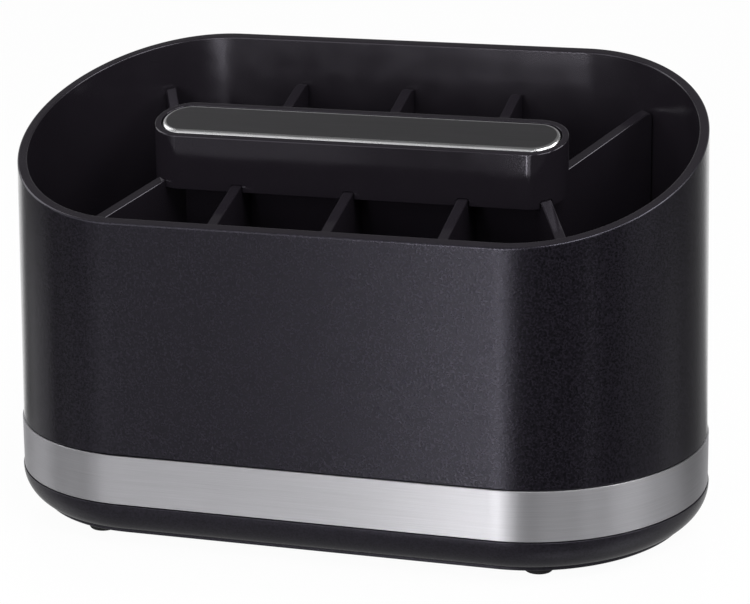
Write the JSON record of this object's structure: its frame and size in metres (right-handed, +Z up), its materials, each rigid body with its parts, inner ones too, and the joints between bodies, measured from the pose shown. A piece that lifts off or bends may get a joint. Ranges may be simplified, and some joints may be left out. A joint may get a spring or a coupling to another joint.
{
  "type": "cutlery drainer",
  "caption": "Oval cutlery drainer with a slanted rim, a steel band round a drip tray, and a lift-out divided insert with a steel-topped handle.",
  "frame": {"origin": "on the worktop under the middle of the drainer's outline", "axes": "+X along the length to the right, +Y from the low front of the rim to its high back, +Z up"},
  "size_m": [0.2242, 0.123, 0.1409],
  "materials": {
    "satin_black": "fine-grained satin black moulding",
    "gloss_black": "glossy black moulding",
    "brushed_steel": "fine horizontal brushing",
    "dark_brushed_steel": "dark grey, brushed along its length, with a polished edge",
    "rubber": "dark soft rubber"
  },
  "bodies": {
    "tray": {"drip_tray": "satin_black", "steel_band": "brushed_steel", "foot_front_left": "rubber", "foot_front_right": "rubber", "foot_rear_left": "rubber", "foot_rear_right": "rubber"},
    "shell": {"outer_shell": "satin_black"},
    "insert": {"drain_floor": "gloss_black", "spine": "gloss_black", "divider_front_left": "gloss_black", "divider_front_middle": "gloss_black", "divider_front_right": "gloss_black", "diagonal_front_left": "gloss_black", "diagonal_front_right": "gloss_black", "divider_rear_left": "gloss_black", "divider_rear_middle": "gloss_black", "divider_rear_right": "gloss_black", "diagonal_rear_left": "gloss_black", "diagonal_rear_right": "gloss_black", "handle_cap": "gloss_black", "handle_inlay": "dark_brushed_steel"}
  },
  "joints": [
    {"name": "shell_lift", "type": "slide", "parent": "tray", "child": "shell", "axis": [0, 0, 1], "range_m": [0, 0.03]},
    {"name": "insert_lift", "type": "slide", "parent": "shell", "child": "insert", "axis": [0, 0, 1], "range_m": [0, 0.115]}
  ]
}
